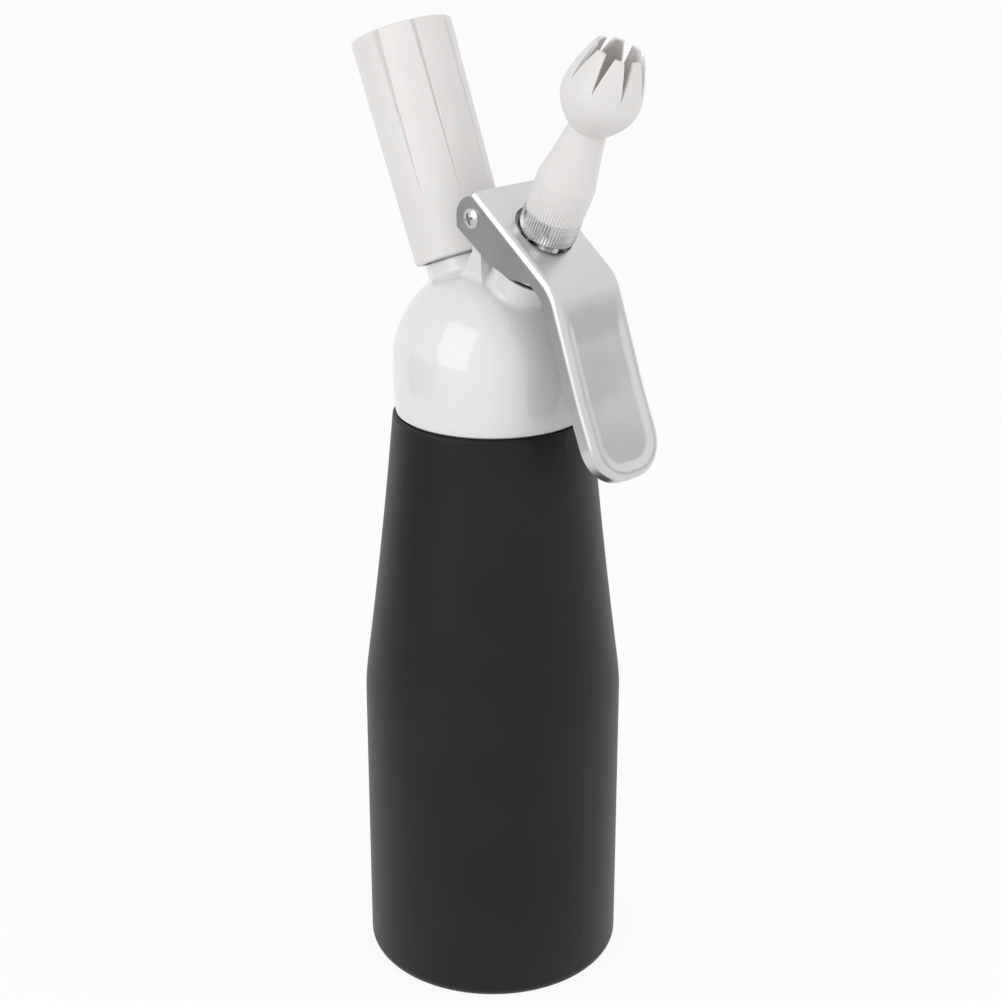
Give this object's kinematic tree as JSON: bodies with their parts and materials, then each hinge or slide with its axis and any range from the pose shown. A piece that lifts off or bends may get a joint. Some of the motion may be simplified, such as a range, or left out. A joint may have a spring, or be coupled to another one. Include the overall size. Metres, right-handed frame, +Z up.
{
  "type": "whipped cream dispenser",
  "caption": "Whipped cream dispenser with a tapered bottle, screw-on head, gas charger holder, lever valve and fluted piping tip.",
  "frame": {"origin": "middle of the flat face under the bottle", "axes": "+Z up along the bottle, +X towards the lever, the charger holder leans to -X"},
  "size_m": [0.1092, 0.08, 0.2957],
  "materials": {
    "bottle_black": "matt black coating on aluminium",
    "head_white": "gloss white coating on cast aluminium",
    "silicone": "milky silicone rubber",
    "brass": "machined brass",
    "steel": "turned stainless steel",
    "white_plastic": "satin moulded plastic",
    "alloy": "turned aluminium",
    "seal_black": "black rubber",
    "nickel": "nickel plated, knurled",
    "satin_alloy": "satin anodised aluminium",
    "nylon": "natural nylon"
  },
  "bodies": {
    "bottle": {"bottle": "bottle_black"},
    "head": {"head": "head_white", "head_gasket": "silicone", "pin_carrier": "brass", "piercing_pin": "steel", "charger_seal": "silicone", "check_valve": "silicone", "valve_bush": "steel", "bush_washer": "seal_black", "valve_spring": "steel", "pivot_sleeve": "steel", "pivot_screws": "steel", "pivot_washers": "nylon"},
    "holder": {"charger_holder": "white_plastic", "holder_insert": "alloy"},
    "stem": {"valve_stem": "steel", "disc_seal": "seal_black", "stem_ring": "seal_black", "push_collar": "steel", "spout_adapter": "nickel", "tip_ring": "silicone"},
    "tip": {"piping_tip": "white_plastic"},
    "lever": {"lever": "satin_alloy"}
  },
  "joints": [
    {"name": "head_lift", "type": "slide", "parent": "bottle", "child": "head", "axis": [0, 0, 1], "range_m": [0, 0.06]},
    {"name": "holder_draw", "type": "slide", "parent": "head", "child": "holder", "axis": [-0.3795, 0, 0.9252], "range_m": [0, 0.075]},
    {"name": "lever_press", "type": "hinge", "parent": "head", "child": "lever", "pos_m": [0.0058, 0, 0.243], "axis": [0, 1, 0], "range_deg": [0, 10], "stiffness_Nm_per_rad": 1, "springref_deg": -5.73},
    {"name": "stem_push", "type": "slide", "parent": "head", "child": "stem", "axis": [0.4431, 0, 0.8965], "range_m": [-0.0029, 0], "deforming": ["valve_spring"]},
    {"name": "tip_draw", "type": "slide", "parent": "stem", "child": "tip", "axis": [0.4431, 0, 0.8965], "range_m": [0, 0.015]}
  ],
  "couplings": [
    {"joint": "stem_push", "follows": "lever_press", "m_per_rad": -0.016281}
  ]
}
